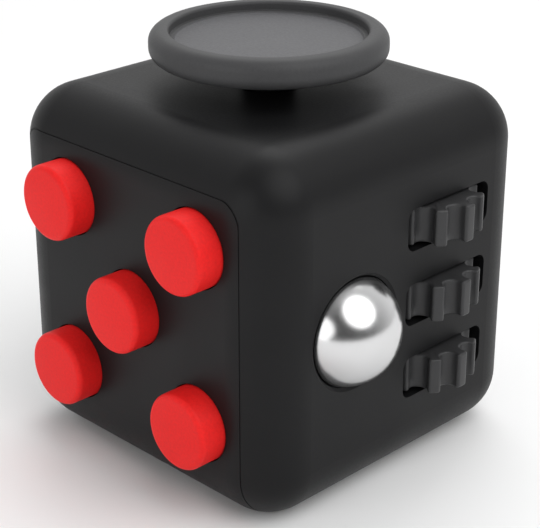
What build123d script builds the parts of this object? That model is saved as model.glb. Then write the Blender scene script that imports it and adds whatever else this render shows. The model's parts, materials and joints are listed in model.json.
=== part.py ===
from build123d import *
import math
import os

# Fidget cube: a 33 mm hand toy with a different control on each of its faces.
# Axes: +Z up, origin at the centre of the bottom face, which the cube rests on.
#   -Y five push buttons          +X three thumb wheels and a clicking ball
#   +Z tilting thumb stick        -X rocker switch
#   +Y spinning dial              -Z thumb hollow
# All lengths are in millimetres.

os.makedirs("parts", exist_ok=True)

# ---- casing -------------------------------------------------------------------
CUBE = 33.0              # edge length over the flat faces
EDGE_R = 5.0             # outer edge rounding
WALL = 2.0               # moulded wall thickness
MID = CUBE / 2           # height of the cube's centre
FACE = CUBE / 2          # distance of each face from the centre
INNER = FACE - WALL      # distance of each inner wall face from the centre
SEAM_RIGHT = 13.0        # the cover's side seam by the wheels and ball
SEAM_LEFT = -14.3        # its side seam by the rocker, nearly at the cube's edge
SEAM_RISE = 13.0         # height of the cover's top seams over the cube's centre
SEAM_CORNER_R = 2.0
SEAM_GAP = 0.12
LIP = 0.9                # thickness of the body's lip behind the seam
LEFT_LIP = 2.8           # the left lip is thicker, to reach round the inner corner
LIP_ROOT = 0.9           # how far the lip runs into the body's wall
LIP_SET = 0.5            # how far the lip stands in from the inner wall face
LIP_REACH = 0.7          # how far the lip reaches behind the cover
FIT = 0.05               # gap between fixed pieces that lie against each other

# ---- screws -------------------------------------------------------------------
SCREW_R = 0.5            # shank of the small self-tapping screws
PILOT_R = 0.52
SCREW_HEAD_R = 1.15
SCREW_HEAD_H = 0.7
BOSS_R = 1.5

# ---- push buttons, -Y face ----------------------------------------------------
BUTTON_R = 3.4
BUTTON_PROUD = 2.5
BUTTON_PITCH = 8.0       # from the middle button to the outer ones, each way
BUTTON_HOLE_R = 3.52
BUTTON_FLANGE_R = 3.85
BUTTON_EDGE_R = 0.5
BOARD_FRONT = -12.0      # the click board's front face
BOARD_T = 1.2
DOME_H = 0.8
DOME_R = 2.3

# ---- thumb wheels, +X face ----------------------------------------------------
WHEEL_R = 4.75
WHEEL_T = 3.3
WHEEL_TEETH = 10
GROOVE_R = 0.83          # half width of the round-bottomed grooves between teeth
GROOVE_DEPTH = 1.15
WHEEL_PITCH = 7.0
WHEEL_X = 14.2
WHEEL_Y = 5.35
WHEEL_HEIGHTS = [MID - WHEEL_PITCH, MID, MID + WHEEL_PITCH]
WHEEL_NAMES = ["lower", "middle", "upper"]
SLOT_L = 10.6
SLOT_H = 3.9
SLOT_CORNER_R = 0.9
AXLE_R = 1.0

# ---- clicking ball, +X face ---------------------------------------------------
BALL_R = 5.0
BALL_X = 15.0
BALL_Y = -6.2
BALL_Z = 16.35
SEAT_R = 5.1             # spherical seat in the wall that keeps the ball in
BALL_MOUTH_R = 5.22      # the hole's mouth on the outer face
CUP_R = 5.72
COLLAR_R = 5.85          # bore of the collar that guides the cup

# ---- thumb stick, +Z face -----------------------------------------------------
STICK_CAP_R = 10.5
STICK_CAP_BOTTOM = 35.3
STICK_CAP_TOP = 37.9
STICK_RECESS_R = 8.7
STICK_RECESS_DEPTH = 1.0
STICK_PIVOT_Z = 29.2
STEM_R = 2.45
STEM_HOLE_R = 3.3
STICK_FRAME_HALF = 7.8
STICK_SCREW_XY = 6.3
GIMBAL_R = 4.4

# ---- rocker switch, -X face ---------------------------------------------------
ROCKER_PIVOT_X = -13.4
ROCKER_REST_DEG = 9.0    # it rests tipped one way and flips to the same angle the other way
ROCKER_SWING_R = 7.4
ROCKER_HALF_W = 4.5
ROCKER_PIN_R = 0.8

# ---- spinning dial, +Y face ---------------------------------------------------
DIAL_R = 7.6
DIAL_PROUD = 1.9
DIAL_RECESS_DEPTH = 0.8
SPINDLE_R = 1.2

# ---- thumb hollow, -Z face ----------------------------------------------------
HOLLOW_R = 7.5
HOLLOW_DEPTH = 1.6


def rod(axis, radius, start, end, centre=(0, 0)):
    """Round bar along an axis; centre is its other two coordinates in x, y, z order."""
    bar = Cylinder(radius, end - start, align=(Align.CENTER, Align.CENTER, Align.MIN))
    if axis == "x":
        return Pos(start, centre[0], centre[1]) * Rot(0, 90, 0) * bar
    if axis == "y":
        return Pos(centre[0], start, centre[1]) * Rot(-90, 0, 0) * bar
    return Pos(centre[0], centre[1], start) * bar


def tube(axis, outer, inner, start, end, centre=(0, 0)):
    """Round ring or sleeve along an axis."""
    return rod(axis, outer, start, end, centre) - rod(axis, inner, start - 1, end + 1, centre)


def block(x0, x1, y0, y1, z0, z1):
    """Box between two corners."""
    size = Box(x1 - x0, y1 - y0, z1 - z0, align=(Align.MIN, Align.MIN, Align.MIN))
    return Pos(x0, y0, z0) * size


def rounded_cube(edge, radius):
    """Cube about the casing's centre with every edge rounded."""
    cube = Box(edge, edge, edge)
    return Pos(0, 0, MID) * fillet(cube.edges(), radius)


def seam_tunnel(grow, corner):
    """Prism along Y that holds everything inside the seam, grown by an amount."""
    top = MID + SEAM_RISE + grow
    prism = block(SEAM_LEFT - grow, SEAM_RIGHT + grow, -FACE - 1, FACE + 1, -1, top)
    upper = prism.edges().filter_by(Axis.Y).group_by(Axis.Z)[-1]
    return fillet(upper, corner)


def grid(spacing_a, spacing_b):
    """The four corners of a rectangle about zero."""
    return [(a * spacing_a, b * spacing_b) for a in (-1, 1) for b in (-1, 1)]


def only(shape):
    """The single solid of a shape, or the group of its solids."""
    solids = shape.solids()
    return solids[0] if len(solids) == 1 else Compound(children=list(solids))


def save(node, shape):
    """Write one sub-part."""
    export_step(only(shape), f"parts/{node}.step")


# ---- where the fixings stand --------------------------------------------------
BOARD_SCREWS = [(0.0, MID + 9.0), (0.0, MID - 9.0), (-9.0, MID)]      # x, z
WHEEL_SCREWS = [(11.85, MID - WHEEL_PITCH / 2), (11.85, MID + WHEEL_PITCH / 2)]   # y, z
BALL_SCREWS = [(BALL_Y + 2.2, BALL_Z + 7.55), (BALL_Y + 2.2, BALL_Z - 7.55)]      # y, z
ROCKER_SCREWS = [(0.0, MID + 9.6), (0.0, MID - 9.6)]                  # y, z
STICK_SCREWS = grid(STICK_SCREW_XY, STICK_SCREW_XY)                   # x, y

BUTTON_PLACES = {
    "middle": (0.0, MID),
    "upper_left": (-BUTTON_PITCH, MID + BUTTON_PITCH),
    "upper_right": (BUTTON_PITCH, MID + BUTTON_PITCH),
    "lower_left": (-BUTTON_PITCH, MID - BUTTON_PITCH),
    "lower_right": (BUTTON_PITCH, MID - BUTTON_PITCH),
}
CLICK_BUTTONS = ["middle", "upper_right", "lower_left"]

BRACKET_BACK = 8.0       # inner face of the wheel bracket
BRACKET_FACE = 9.1       # its face towards the wheels
BALL_PLATE_BACK = 6.4
BALL_PLATE_FACE = 7.4
FRAME_BOTTOM = 29.6      # the thumb stick frame's plate
FRAME_TOP = 30.4
CLAMP_BOTTOM = 26.4
CLAMP_TOP = 27.2
ROCKER_PLATE_FACE = -10.2
ROCKER_PLATE_BACK = -9.2
DIAL_BOSS_END = 12.6


# ---- casing -------------------------------------------------------------------
def casing_shell():
    """The whole hollow cube before it is parted along the seam."""
    return rounded_cube(CUBE, EDGE_R) - rounded_cube(CUBE - 2 * WALL, EDGE_R - WALL)


def seam_lip():
    """Bars inside the body that back the seam on the front, rear and bottom."""
    near = INNER - LIP_SET
    low, high = MID + SEAM_RISE - LIP_REACH, MID + SEAM_RISE + LIP_ROOT
    sides = [
        (SEAM_LEFT - LIP_ROOT, SEAM_LEFT + LIP_REACH, LEFT_LIP),
        (SEAM_RIGHT - LIP_REACH, SEAM_RIGHT + LIP_ROOT, LIP),
    ]
    bars = []
    for x0, x1, thick in sides:
        bars.append(block(x0, x1, -near, near, MID - near, MID - near + thick))
        for face in (-1, 1):
            y0, y1 = sorted((face * near, face * (near - thick)))
            bars.append(block(x0, x1, y0, y1, MID - near, low))
    for face in (-1, 1):
        y0, y1 = sorted((face * near, face * (near - LIP)))
        bars.append(block(sides[0][0], sides[1][1], y0, y1, low, high))
    return bars


def ball_mouth():
    """Flare that opens the ball's hole to its full width on the outer face."""
    start = FACE - 0.25
    start_r = math.sqrt(SEAT_R**2 - (start - BALL_X) ** 2) - 0.02
    end_r = 2 * BALL_MOUTH_R - start_r
    flare = Cone(start_r, end_r, 0.5, align=(Align.CENTER, Align.CENTER, Align.MIN))
    return Pos(start, BALL_Y, BALL_Z) * Rot(0, 90, 0) * flare


def wheel_slots():
    """One window through the wall for each thumb wheel."""
    slots = None
    for z in WHEEL_HEIGHTS:
        half = SLOT_L / 2
        slot = block(INNER - 1, FACE + 1, WHEEL_Y - half, WHEEL_Y + half, z - SLOT_H / 2, z + SLOT_H / 2)
        slot = fillet(slot.edges().filter_by(Axis.X), SLOT_CORNER_R)
        slots = slot if slots is None else slots + slot
    return slots


def body_shell():
    """Top, both side walls and the rims round the cover: one moulding."""
    body = casing_shell()
    for bar in seam_lip():
        body += bar
    cover_room = seam_tunnel(SEAM_GAP / 2, SEAM_CORNER_R)
    cover_room -= rounded_cube(2 * (INNER - FIT), EDGE_R - WALL - FIT)
    body -= cover_room
    body += tube("x", COLLAR_R + 0.45, COLLAR_R, 11.6, INNER + 0.2, (BALL_Y, BALL_Z))
    for place in WHEEL_SCREWS:
        body += rod("x", BOSS_R, BRACKET_FACE + FIT, INNER + 0.2, place)
    for place in BALL_SCREWS:
        body += rod("x", BOSS_R, BALL_PLATE_FACE + FIT, INNER + 0.2, place)
    for place in ROCKER_SCREWS:
        body += rod("x", BOSS_R, -INNER - 0.2, ROCKER_PLATE_FACE - FIT, place)
    for place in STICK_SCREWS:
        body += rod("z", BOSS_R, FRAME_TOP + FIT, CUBE - WALL + 0.2, place)
    body -= rod("z", STEM_HOLE_R, CUBE - WALL - 1, CUBE + 1)
    body -= Pos(BALL_X, BALL_Y, BALL_Z) * Sphere(SEAT_R)
    body -= ball_mouth()
    body -= wheel_slots()
    body -= rod("z", AXLE_R + 0.03, 4.8, 28.4, (WHEEL_X, WHEEL_Y))
    opening = block(-FACE - 1, -INNER + 1, -ROCKER_HALF_W - 0.2, ROCKER_HALF_W + 0.2, MID - 7.6, MID + 7.6)
    body -= fillet(opening.edges().filter_by(Axis.X), 0.8)
    for place in WHEEL_SCREWS:
        body -= rod("x", PILOT_R, BRACKET_FACE - 1, BRACKET_FACE + 4, place)
    for place in BALL_SCREWS:
        body -= rod("x", PILOT_R, BALL_PLATE_FACE - 1, BALL_PLATE_FACE + 4, place)
    for place in ROCKER_SCREWS:
        body -= rod("x", PILOT_R, ROCKER_PLATE_FACE - 3.6, ROCKER_PLATE_FACE + 1, place)
    for place in STICK_SCREWS:
        body -= rod("z", PILOT_R, FRAME_TOP - 1, CUBE - 0.8, place)
    return body


def thumb_hollow():
    """Shallow round dish: the top of a large ball sunk in the bottom face."""
    ball_r = (HOLLOW_R**2 + HOLLOW_DEPTH**2) / (2 * HOLLOW_DEPTH)
    return Pos(0, 0, HOLLOW_DEPTH - ball_r) * Sphere(ball_r)


def snap_tab(side, y):
    """Hook on the cover's floor that snaps over the body's lip."""
    seam = SEAM_RIGHT if side == 1 else SEAM_LEFT
    floor = WALL - 0.2
    lip_top = MID - INNER + LIP_SET + LIP
    inner, outer, tip = seam - side * 2.0, seam - side * 0.9, seam - side * 0.15
    if side == -1:
        lip_top = MID - INNER + LIP_SET + LEFT_LIP
    top = lip_top + 1.0
    post = block(min(inner, outer), max(inner, outer), y - 1.5, y + 1.5, floor, top)
    hook = block(min(inner, tip), max(inner, tip), y - 1.5, y + 1.5, lip_top + 0.1, top)
    return post + hook


def wrap_cover():
    """Front, bottom and rear walls: one U-shaped moulding that slides into the body."""
    cover = casing_shell() & seam_tunnel(-SEAM_GAP / 2, SEAM_CORNER_R)
    pad = rod("z", HOLLOW_R, WALL - 0.2, WALL + 1.4)
    cover += pad
    for side in (-1, 1):
        for y in (-9.0, 9.0):
            cover += snap_tab(side, y)
    for place in BOARD_SCREWS:
        cover += rod("y", BOSS_R, -INNER - 0.2, BOARD_FRONT - FIT, place)
    cover += rod("y", 3.6, DIAL_BOSS_END, INNER + 0.2, (0, MID))
    cover -= thumb_hollow()
    for place in BUTTON_PLACES.values():
        cover -= rod("y", BUTTON_HOLE_R, -FACE - 1, -INNER + 0.1, place)
    for place in BOARD_SCREWS:
        cover -= rod("y", PILOT_R, BOARD_FRONT - 3.2, BOARD_FRONT + 1, place)
    cover -= rod("y", DIAL_R + 0.3, FACE - DIAL_RECESS_DEPTH, FACE + 1, (0, MID))
    cover -= rod("y", 2.22, DIAL_BOSS_END - 1, FACE + 1, (0, MID))
    return cover


# ---- push buttons -------------------------------------------------------------
def push_button(place):
    """Hollow cap with a retaining flange and a plunger that meets its dome."""
    front = -FACE - BUTTON_PROUD
    flange_front = -INNER + FIT
    flange_back = flange_front + 0.8
    cap = rod("y", BUTTON_R, front, flange_back, place)
    cap = fillet(cap.edges().group_by(Axis.Y)[0], BUTTON_EDGE_R)
    cap += rod("y", BUTTON_FLANGE_R, flange_front, flange_back, place)
    cap -= rod("y", BUTTON_R - 0.9, front + 1.3, flange_back + 1, place)
    plunger_tip = BOARD_FRONT - DOME_H - FIT
    return cap + rod("y", 1.2, front + 1.2, plunger_tip, place)


def dome(height, radius, thickness=0.2):
    """Thin snap dome, a cap of a ball's skin standing on z = 0."""
    ball_r = (radius**2 + height**2) / (2 * height)
    skin = Pos(0, 0, height - ball_r) * (Sphere(ball_r) - Sphere(ball_r - thickness))
    return skin & rod("z", radius + 1, 0, height + 1)


def silent_pad(place):
    """Soft silicone stud under a silent button."""
    stud = rod("y", 1.6, BOARD_FRONT - DOME_H, BOARD_FRONT, place)
    return stud + rod("y", DOME_R, BOARD_FRONT - 0.25, BOARD_FRONT, place)


def click_board():
    """Plate behind the buttons that carries the domes, cut back round the ball's collar."""
    back = BOARD_FRONT + BOARD_T
    plate = block(-11.9, 11.9, BOARD_FRONT, back, MID - 11.9, MID + 11.9)
    plate = fillet(plate.edges().filter_by(Axis.Y), 1.5)
    plate -= block(8.0, 13.0, BOARD_FRONT - 1, back + 1, BALL_Z - 4.6, BALL_Z + 4.6)
    for place in BOARD_SCREWS:
        plate -= rod("y", SCREW_R + 0.1, BOARD_FRONT - 1, back + 1, place)
    return plate


def screw(axis, place, seat, tip):
    """Pan-head self-tapping screw; seat is the face under its head, tip its other end."""
    way = 1 if seat > tip else -1
    head_end = seat + way * (SCREW_HEAD_H + FIT)
    head_start = seat + way * FIT
    head = rod(axis, SCREW_HEAD_R, min(head_start, head_end), max(head_start, head_end), place)
    shank = rod(axis, SCREW_R, min(head_start, tip), max(head_start, tip), place)
    socket_end = head_end - way * 0.35
    socket = rod(axis, 0.45, min(socket_end, head_end), max(socket_end, head_end), place)
    return head + shank - socket


def screws(axis, places, seat, tip):
    """A set of identical screws."""
    group = [screw(axis, place, seat, tip).solids()[0] for place in places]
    return Compound(children=group)


# ---- thumb wheels -------------------------------------------------------------
def thumb_wheel(z):
    """Wheel with round-bottomed grooves between square-topped teeth."""
    bottom = z - WHEEL_T / 2
    centre = (WHEEL_X, WHEEL_Y)
    wheel = rod("z", WHEEL_R, bottom, bottom + WHEEL_T, centre)
    groove_centre = WHEEL_R - GROOVE_DEPTH + GROOVE_R
    cutter = rod("z", GROOVE_R, -WHEEL_T, WHEEL_T, (groove_centre, 0))
    cutter += block(groove_centre, WHEEL_R + 1, -GROOVE_R, GROOVE_R, -WHEEL_T, WHEEL_T)
    step = 360 / WHEEL_TEETH
    for tooth in range(WHEEL_TEETH):
        wheel -= Pos(WHEEL_X, WHEEL_Y, z) * Rot(0, 0, step * (tooth + 0.5)) * cutter
    upright = wheel.edges().filter_by(Axis.Z)
    corners = [e for e in upright if math.dist(tuple(e.center())[:2], centre) > WHEEL_R - 0.3]
    wheel = fillet(corners, 0.2)
    return wheel - rod("z", AXLE_R + 0.06, bottom - 1, bottom + WHEEL_T + 1, centre)


def wheel_bracket():
    """Comb that carries the axle between the wheels and holds them against the wall."""
    low, high = WHEEL_HEIGHTS[0] - 4.0, WHEEL_HEIGHTS[-1] + 4.0
    bracket = block(BRACKET_BACK, BRACKET_FACE, 1.3, 13.3, low, high)
    cheek = WHEEL_T / 2 + 0.3
    spans = [(low, WHEEL_HEIGHTS[0] - cheek), (WHEEL_HEIGHTS[-1] + cheek, high)]
    for under, over in zip(WHEEL_HEIGHTS, WHEEL_HEIGHTS[1:]):
        spans.append((under + cheek, over - cheek))
    for start, end in spans:
        bracket += block(BRACKET_FACE - 0.1, INNER - FIT, 2.6, 8.1, start, end)
    bracket -= rod("z", AXLE_R + 0.03, low - 1, high + 1, (WHEEL_X, WHEEL_Y))
    for place in WHEEL_SCREWS:
        bracket -= rod("x", SCREW_R + 0.1, BRACKET_BACK - 1, BRACKET_FACE + 1, place)
    return bracket


def wheel_detents():
    """Leaf springs on the bracket, each with a nib resting in a groove of its wheel."""
    angle = math.radians(180 - 180 / WHEEL_TEETH)
    reach = WHEEL_R - GROOVE_DEPTH + 0.6
    nib = (WHEEL_X + reach * math.cos(angle), WHEEL_Y + reach * math.sin(angle))
    leaf = 0.2
    springs = []
    for z in WHEEL_HEIGHTS:
        low, high = z - 1.2, z + 1.2
        strip = block(BRACKET_FACE + FIT, BRACKET_FACE + FIT + leaf, nib[1] - leaf, 12.2, low, high)
        arm = block(BRACKET_FACE + FIT, nib[0], nib[1] - leaf, nib[1], low, high)
        tip = rod("z", 0.45, low, high, nib)
        springs.append((strip + arm + tip).solids()[0])
    return Compound(children=springs)


# ---- clicking ball ------------------------------------------------------------
def ball_cup():
    """Sliding cup behind the ball, with a short stem that meets the dome."""
    place = (BALL_Y, BALL_Z)
    cup = rod("x", CUP_R, 9.0, 13.2, place)
    cup -= Pos(BALL_X, BALL_Y, BALL_Z) * Sphere(BALL_R + 0.07)
    return cup + rod("x", 1.5, 8.15, 9.1, place)


def ball_plate():
    """Back plate screwed to the body behind the cup."""
    plate = block(BALL_PLATE_BACK, BALL_PLATE_FACE, -10.5, -1.0, BALL_Z - 9.05, BALL_Z + 9.05)
    plate = fillet(plate.edges().filter_by(Axis.X), 1.2)
    for place in BALL_SCREWS:
        plate -= rod("x", SCREW_R + 0.1, BALL_PLATE_BACK - 1, BALL_PLATE_FACE + 1, place)
    return plate


# ---- thumb stick --------------------------------------------------------------
def stick_cap():
    """Round cap with a rolled rim and a shallow thumb recess."""
    height = STICK_CAP_TOP - STICK_CAP_BOTTOM
    cap = rod("z", STICK_CAP_R, STICK_CAP_BOTTOM, STICK_CAP_TOP)
    rims = cap.edges().group_by(Axis.Z)
    cap = fillet(rims[-1] + rims[0], height / 2 - 0.25)
    floor = STICK_CAP_TOP - STICK_RECESS_DEPTH
    cap -= rod("z", STICK_RECESS_R, floor, STICK_CAP_TOP + 1)
    lip = [e for e in cap.edges().filter_by(GeomType.CIRCLE) if abs(e.radius - STICK_RECESS_R) < 0.01]
    cap = fillet([e for e in lip if e.center().Z > floor + 0.1], 0.3)
    return cap - rod("z", STEM_R + 0.02, STICK_CAP_BOTTOM - 1, floor - 0.6)


def stick_stem():
    """Stem from the cap down through the gimbal."""
    top = STICK_CAP_TOP - STICK_RECESS_DEPTH - 0.62
    stem = rod("z", STEM_R, 27.0, top)
    return stem - rod("x", 0.51, -STEM_R - 1, STEM_R + 1, (0, STICK_PIVOT_Z))


def gimbal_ring():
    """Ring that carries the stem's pin one way and swings on its own pins the other."""
    ring = tube("z", GIMBAL_R, 3.05, STICK_PIVOT_Z - 0.8, STICK_PIVOT_Z + 0.8)
    ring -= rod("x", 0.55, -GIMBAL_R - 1, GIMBAL_R + 1, (0, STICK_PIVOT_Z))
    return ring - rod("y", 0.51, -GIMBAL_R - 1, GIMBAL_R + 1, (0, STICK_PIVOT_Z))


def gimbal_pins():
    """Two short pins between the gimbal ring and the frame's ears."""
    ends = [(3.2, 6.1), (-6.1, -3.2)]
    pins = [rod("y", 0.5, start, end, (0, STICK_PIVOT_Z)) for start, end in ends]
    return Compound(children=[pin.solids()[0] for pin in pins])


def stick_frame():
    """Square plate under the top wall, with ears for the gimbal and posts for the clamp."""
    half = STICK_FRAME_HALF
    frame = block(-half, half, -half, half, FRAME_BOTTOM, FRAME_TOP)
    frame += rod("z", 6.9, 28.2, FRAME_BOTTOM + 0.1) - rod("z", 6.1, 28.0, FRAME_BOTTOM + 0.2)
    for side in (-1, 1):
        near, far = side * 5.05, side * 6.3
        frame += block(-1.6, 1.6, min(near, far), max(near, far), 28.2, FRAME_TOP)
    for place in STICK_SCREWS:
        frame += rod("z", BOSS_R, CLAMP_TOP + FIT, FRAME_BOTTOM + 0.1, place)
    frame -= rod("z", 5.0, 28.0, FRAME_TOP + 1)
    frame -= rod("y", 0.55, -8.5, 8.5, (0, STICK_PIVOT_Z))
    for place in STICK_SCREWS:
        frame -= rod("z", SCREW_R + 0.1, CLAMP_TOP - 1, FRAME_TOP + 1, place)
    return frame


def centring_rubber():
    """Silicone disc that grips the stem and springs it back upright."""
    collar = tube("z", 3.2, STEM_R + 0.03, CLAMP_TOP + FIT, 28.1)
    web = tube("z", 6.2, 3.0, CLAMP_TOP + FIT, 27.7)
    rim = tube("z", 6.9, 6.0, CLAMP_TOP + FIT, 28.15)
    return collar + web + rim


def stick_clamp():
    """Plate that clamps the rubber under the frame."""
    half = STICK_FRAME_HALF
    clamp = block(-half, half, -half, half, CLAMP_BOTTOM, CLAMP_TOP)
    clamp = fillet(clamp.edges().filter_by(Axis.Z), 1.2)
    clamp -= rod("z", 4.6, CLAMP_BOTTOM - 1, CLAMP_TOP + 1)
    for place in STICK_SCREWS:
        clamp -= rod("z", SCREW_R + 0.1, CLAMP_BOTTOM - 1, CLAMP_TOP + 1, place)
    return clamp


# ---- rocker switch ------------------------------------------------------------
def tipped(shape):
    """Turn a piece drawn about the rocker's pivot to its rest angle and place."""
    return Pos(ROCKER_PIVOT_X, 0, MID) * Rot(0, ROCKER_REST_DEG, 0) * shape


def rocker_switch():
    """Rocker key with two slightly hollowed halves and ends that swing about the pin."""
    half = ROCKER_HALF_W
    swing = Rot(-90, 0, 0) * Cylinder(ROCKER_SWING_R, 2 * half)
    outline = Polyline((-4.4, 0, -8), (-3.3, 0, 0), (-4.4, 0, 8), (-0.6, 0, 8), (-0.6, 0, -8), close=True)
    wedge = extrude(make_face(outline), half, both=True)
    key = swing & wedge
    outer = key.edges().filter_by(Axis.Y).group_by(Axis.X)[0]
    key = fillet(outer, 0.5)
    hub = Rot(-90, 0, 0) * Cylinder(1.8, 2 * half)
    nose = Pos(2.0, 0, 0) * Rot(-90, 0, 0) * Cylinder(0.5, half)
    bore = Rot(-90, 0, 0) * Cylinder(ROCKER_PIN_R + 0.05, 2 * half + 2)
    hollow = block(-2.2, 1.0, -half + 1.2, half - 1.2, 2.3, 6.0)
    hollow += block(-2.2, 1.0, -half + 1.2, half - 1.2, -6.0, -2.3)
    return tipped(key + hub + nose - bore - hollow)


def rocker_frame():
    """Bracket behind the rocker with a cheek at each end of its pin."""
    plate = block(ROCKER_PLATE_FACE, ROCKER_PLATE_BACK, -6.1, 6.1, MID - 3, MID + 3)
    plate += block(ROCKER_PLATE_FACE, ROCKER_PLATE_BACK, -1.7, 1.7, MID - 11.1, MID + 11.1)
    for side in (-1, 1):
        near, far = side * (ROCKER_HALF_W + 0.25), side * 6.1
        low, high = min(near, far), max(near, far)
        plate += block(-INNER + FIT, ROCKER_PLATE_BACK, low, high, MID - 2.4, MID + 2.4)
    plate -= rod("y", ROCKER_PIN_R + 0.01, -8, 8, (ROCKER_PIVOT_X, MID))
    for place in ROCKER_SCREWS:
        plate -= rod("x", SCREW_R + 0.1, ROCKER_PLATE_FACE - 1, ROCKER_PLATE_BACK + 1, place)
    return plate


def rocker_spring():
    """Leaf spring with a hump that the rocker's nose snaps across."""
    face = ROCKER_PLATE_FACE - FIT
    leaf = block(face - 0.2, face, -2.0, 2.0, MID - 2.9, MID + 2.9)
    hump = rod("y", 0.45, -2.0, 2.0, (face - 0.1, MID)) & block(face - 1, face, -3, 3, MID - 2, MID + 2)
    return leaf + hump


# ---- spinning dial ------------------------------------------------------------
def spin_dial():
    """Disc with a raised rim and a finger dimple."""
    back = FACE - DIAL_RECESS_DEPTH + 0.2
    front = FACE + DIAL_PROUD
    disc = rod("y", DIAL_R, back, front, (0, MID))
    disc = fillet(disc.edges().group_by(Axis.Y)[-1], 0.7)
    disc -= rod("y", DIAL_R - 1.5, front - 0.7, front + 1, (0, MID))
    disc -= Pos(0, front + 1.9, MID + 3.6) * Sphere(3.1)
    return disc - rod("y", SPINDLE_R + 0.01, back - 1, FACE + 0.4, (0, MID))


def dial_spindle():
    """Steel pin pressed into the dial, grooved for its clip."""
    pin = rod("y", SPINDLE_R, 11.0, FACE + 0.38, (0, MID))
    return pin - tube("y", SPINDLE_R + 1, 0.9, 11.35, 11.75, (0, MID))


def dial_bush():
    """Flanged bush in the cover's boss."""
    sleeve = rod("y", 2.2, DIAL_BOSS_END - 0.1, FACE - DIAL_RECESS_DEPTH + 0.05, (0, MID))
    flange = rod("y", 3.1, DIAL_BOSS_END - 0.55, DIAL_BOSS_END - FIT, (0, MID))
    return sleeve + flange - rod("y", SPINDLE_R + 0.05, 11, FACE, (0, MID))


def dial_clip():
    """Snap ring in the spindle's groove."""
    ring = tube("y", 2.1, 0.93, 11.4, 11.7, (0, MID))
    return ring - block(-0.7, 0.7, 11, 12, MID - 3, MID)


# ---- write every sub-part -----------------------------------------------------
save("body_shell", body_shell())
save("wrap_cover", wrap_cover())

for name, place in BUTTON_PLACES.items():
    save(f"button_{name}", push_button(place))
    if name in CLICK_BUTTONS:
        stand = Pos(place[0], BOARD_FRONT, place[1]) * Rot(90, 0, 0)
        save(f"click_dome_{name}", stand * dome(DOME_H, DOME_R))
    else:
        save(f"silent_pad_{name}", silent_pad(place))
save("click_board", click_board())
save("click_board_screws", screws("y", BOARD_SCREWS, BOARD_FRONT + BOARD_T, BOARD_FRONT - 3.0))

for name, z in zip(WHEEL_NAMES, WHEEL_HEIGHTS):
    save(f"thumb_wheel_{name}", thumb_wheel(z))
save("wheel_axle", rod("z", AXLE_R, 5.0, 28.2, (WHEEL_X, WHEEL_Y)))
save("wheel_bracket", wheel_bracket())
save("wheel_bracket_screws", screws("x", WHEEL_SCREWS, BRACKET_BACK, BRACKET_FACE + 3.8))
save("wheel_detents", wheel_detents())

save("steel_ball", Pos(BALL_X, BALL_Y, BALL_Z) * Sphere(BALL_R))
save("ball_cup", ball_cup())
save("ball_dome", Pos(BALL_PLATE_FACE, BALL_Y, BALL_Z) * Rot(0, 90, 0) * dome(0.7, DOME_R))
save("ball_plate", ball_plate())
save("ball_plate_screws", screws("x", BALL_SCREWS, BALL_PLATE_BACK, BALL_PLATE_FACE + 3.8))

save("stick_cap", stick_cap())
save("stick_stem", stick_stem())
save("stem_pin", rod("x", 0.5, -4.2, 4.2, (0, STICK_PIVOT_Z)))
save("gimbal_ring", gimbal_ring())
save("gimbal_pins", gimbal_pins())
save("stick_frame", stick_frame())
save("centring_rubber", centring_rubber())
save("stick_clamp", stick_clamp())
save("stick_screws", screws("z", STICK_SCREWS, CLAMP_BOTTOM, CUBE - 1.0))

save("rocker_switch", rocker_switch())
save("rocker_pin", rod("y", ROCKER_PIN_R, -6.0, 6.0, (ROCKER_PIVOT_X, MID)))
save("rocker_frame", rocker_frame())
save("rocker_spring", rocker_spring())
save("rocker_screws", screws("x", ROCKER_SCREWS, ROCKER_PLATE_BACK, ROCKER_PLATE_FACE - 3.4))

save("spin_dial", spin_dial())
save("dial_spindle", dial_spindle())
save("dial_bush", dial_bush())
save("dial_washer", tube("y", 2.6, SPINDLE_R + 0.1, 11.75, 12.0, (0, MID)))
save("dial_clip", dial_clip())
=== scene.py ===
import json
import math

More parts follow.
